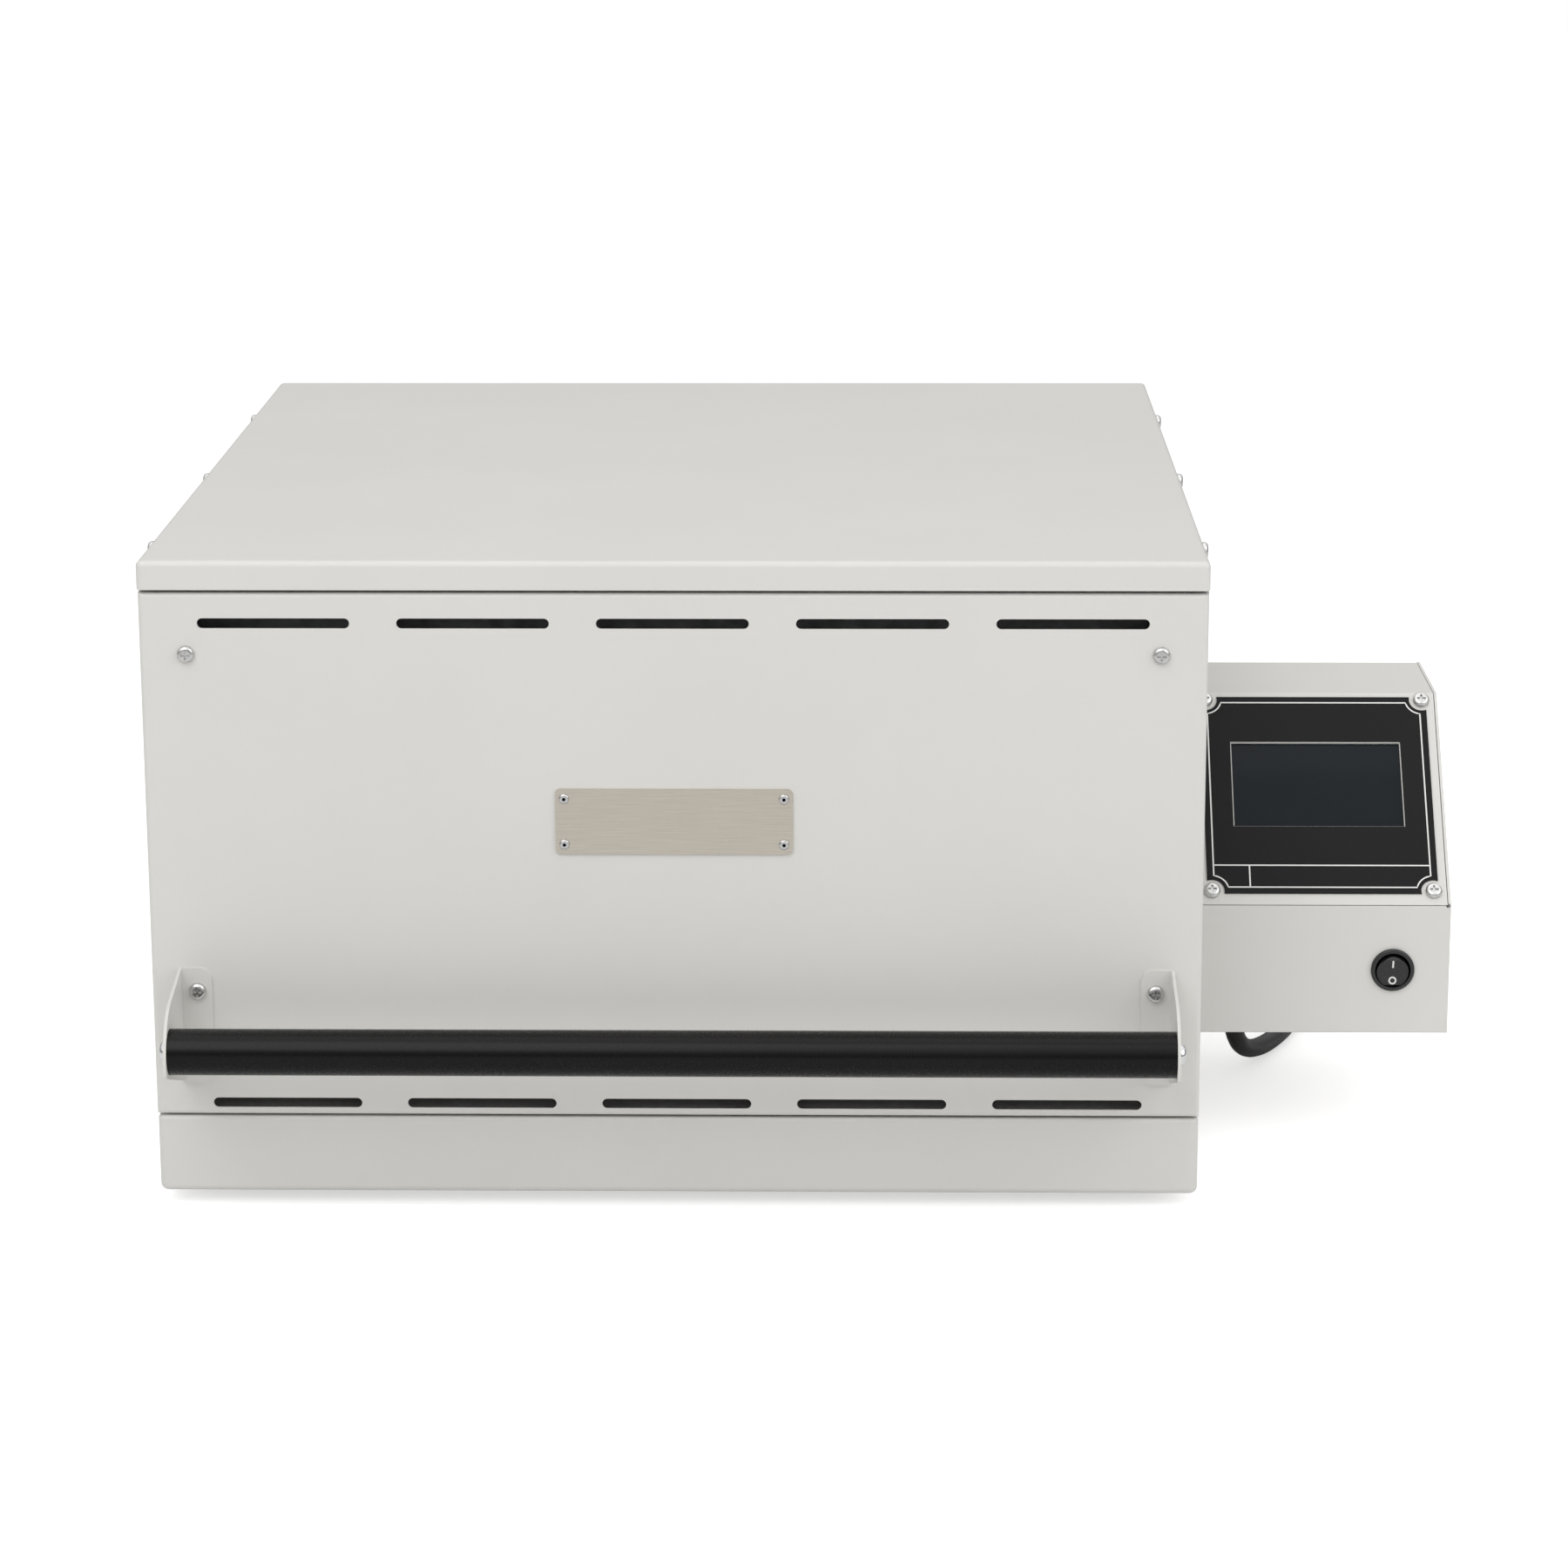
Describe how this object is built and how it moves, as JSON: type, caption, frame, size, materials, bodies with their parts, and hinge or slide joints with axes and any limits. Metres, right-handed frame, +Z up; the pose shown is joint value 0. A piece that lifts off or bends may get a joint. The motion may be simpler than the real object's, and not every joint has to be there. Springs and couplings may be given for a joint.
{
  "type": "electric kiln",
  "caption": "Low box-shaped front-loading electric kiln with a lift-up door, a bar handle, a heated lined chamber and a side control box with a sloping display and rocker switch.",
  "frame": {"origin": "middle of the box round the kiln and its control box, without the cord, on the floor", "axes": "+Z up, the door faces -Y, the control box is on the +X side"},
  "size_m": [0.6758, 0.8174, 0.338],
  "materials": {
    "powder_coat": "satin, finely textured warm off-white",
    "zinc_screw": "zinc plated",
    "polished_screw": "polished",
    "coated_steel": "aluminised",
    "foot_rubber": "matte",
    "fibre_board": "matte, fibrous",
    "hearth_ceramic": "matte, speckled",
    "white_ceramic": "matte",
    "heating_wire": "oxidised",
    "rope_gasket": "woven",
    "plate_steel": "brushed along its length",
    "rivet_steel": "satin",
    "handle_black": "satin black",
    "handle_plug_plastic": "matte",
    "overlay_black": "finely textured, with white lines",
    "screen_glass": "glossy, dark",
    "circuit_board": "solder mask",
    "spacer_nylon": "matte",
    "switch_black": "satin",
    "rocker_black": "semi-gloss with white marks",
    "brass_clamp": "satin",
    "sink_aluminium": "satin",
    "relay_black": "matte",
    "gland_nylon": "satin",
    "cord_rubber": "satin",
    "plug_rubber": "moulded, satin",
    "plug_brass": "satin"
  },
  "bodies": {
    "case": {"top_cover": "powder_coat", "case_screws": "zinc_screw", "left_side_panel": "powder_coat", "right_side_panel": "powder_coat", "rear_panel": "powder_coat", "base_tray": "powder_coat", "rubber_feet": "foot_rubber", "foot_screws": "zinc_screw", "inner_case": "coated_steel", "front_frame": "coated_steel", "lining_floor": "fibre_board", "lining_roof": "fibre_board", "lining_left": "fibre_board", "lining_right": "fibre_board", "lining_rear": "fibre_board", "hearth_plate": "hearth_ceramic", "element_lower": "heating_wire", "element_upper": "heating_wire", "element_leads": "heating_wire", "lead_bushes": "white_ceramic", "thermocouple_tube": "white_ceramic", "thermocouple_block": "white_ceramic", "door_gasket": "rope_gasket", "hinge_brackets": "coated_steel", "hinge_pins": "zinc_screw", "hinge_washers": "zinc_screw", "control_box_base": "powder_coat", "control_box_cover": "powder_coat", "display_overlay": "overlay_black", "display_screen": "screen_glass", "controller_board": "circuit_board", "board_spacers": "spacer_nylon", "overlay_screws": "zinc_screw", "switch_housing": "switch_black", "terminal_strip": "white_ceramic", "terminal_clamps": "brass_clamp", "heat_sink": "sink_aluminium", "power_relay": "relay_black", "cord_gland": "gland_nylon", "cord_run": "cord_rubber", "cord_coil": "cord_rubber", "cord_tail": "cord_rubber", "plug_body": "plug_rubber", "plug_blades": "plug_brass"},
    "door": {"hinge_arms": "coated_steel", "door_cover": "powder_coat", "door_rail_left": "coated_steel", "door_rail_right": "coated_steel", "door_inner_pan": "coated_steel", "door_insulation": "fibre_board", "door_screws": "zinc_screw", "nameplate": "plate_steel", "nameplate_rivets": "rivet_steel", "handle_bracket_left": "powder_coat", "handle_bracket_right": "powder_coat", "handle_tube": "handle_black", "handle_end_plugs": "handle_plug_plastic", "handle_screws": "polished_screw"},
    "rocker": {"switch_rocker": "rocker_black"}
  },
  "joints": [
    {"name": "door_hinge", "type": "hinge", "parent": "case", "child": "door", "pos_m": [-0.06865, -0.24245, 0.296], "axis": [-1, 0, 0], "range_deg": [0, 100]},
    {"name": "power_rocker", "type": "hinge", "parent": "case", "child": "rocker", "pos_m": [0.30535, -0.14625, 0.099], "axis": [-1, 0, 0], "range_deg": [0, 18]}
  ]
}
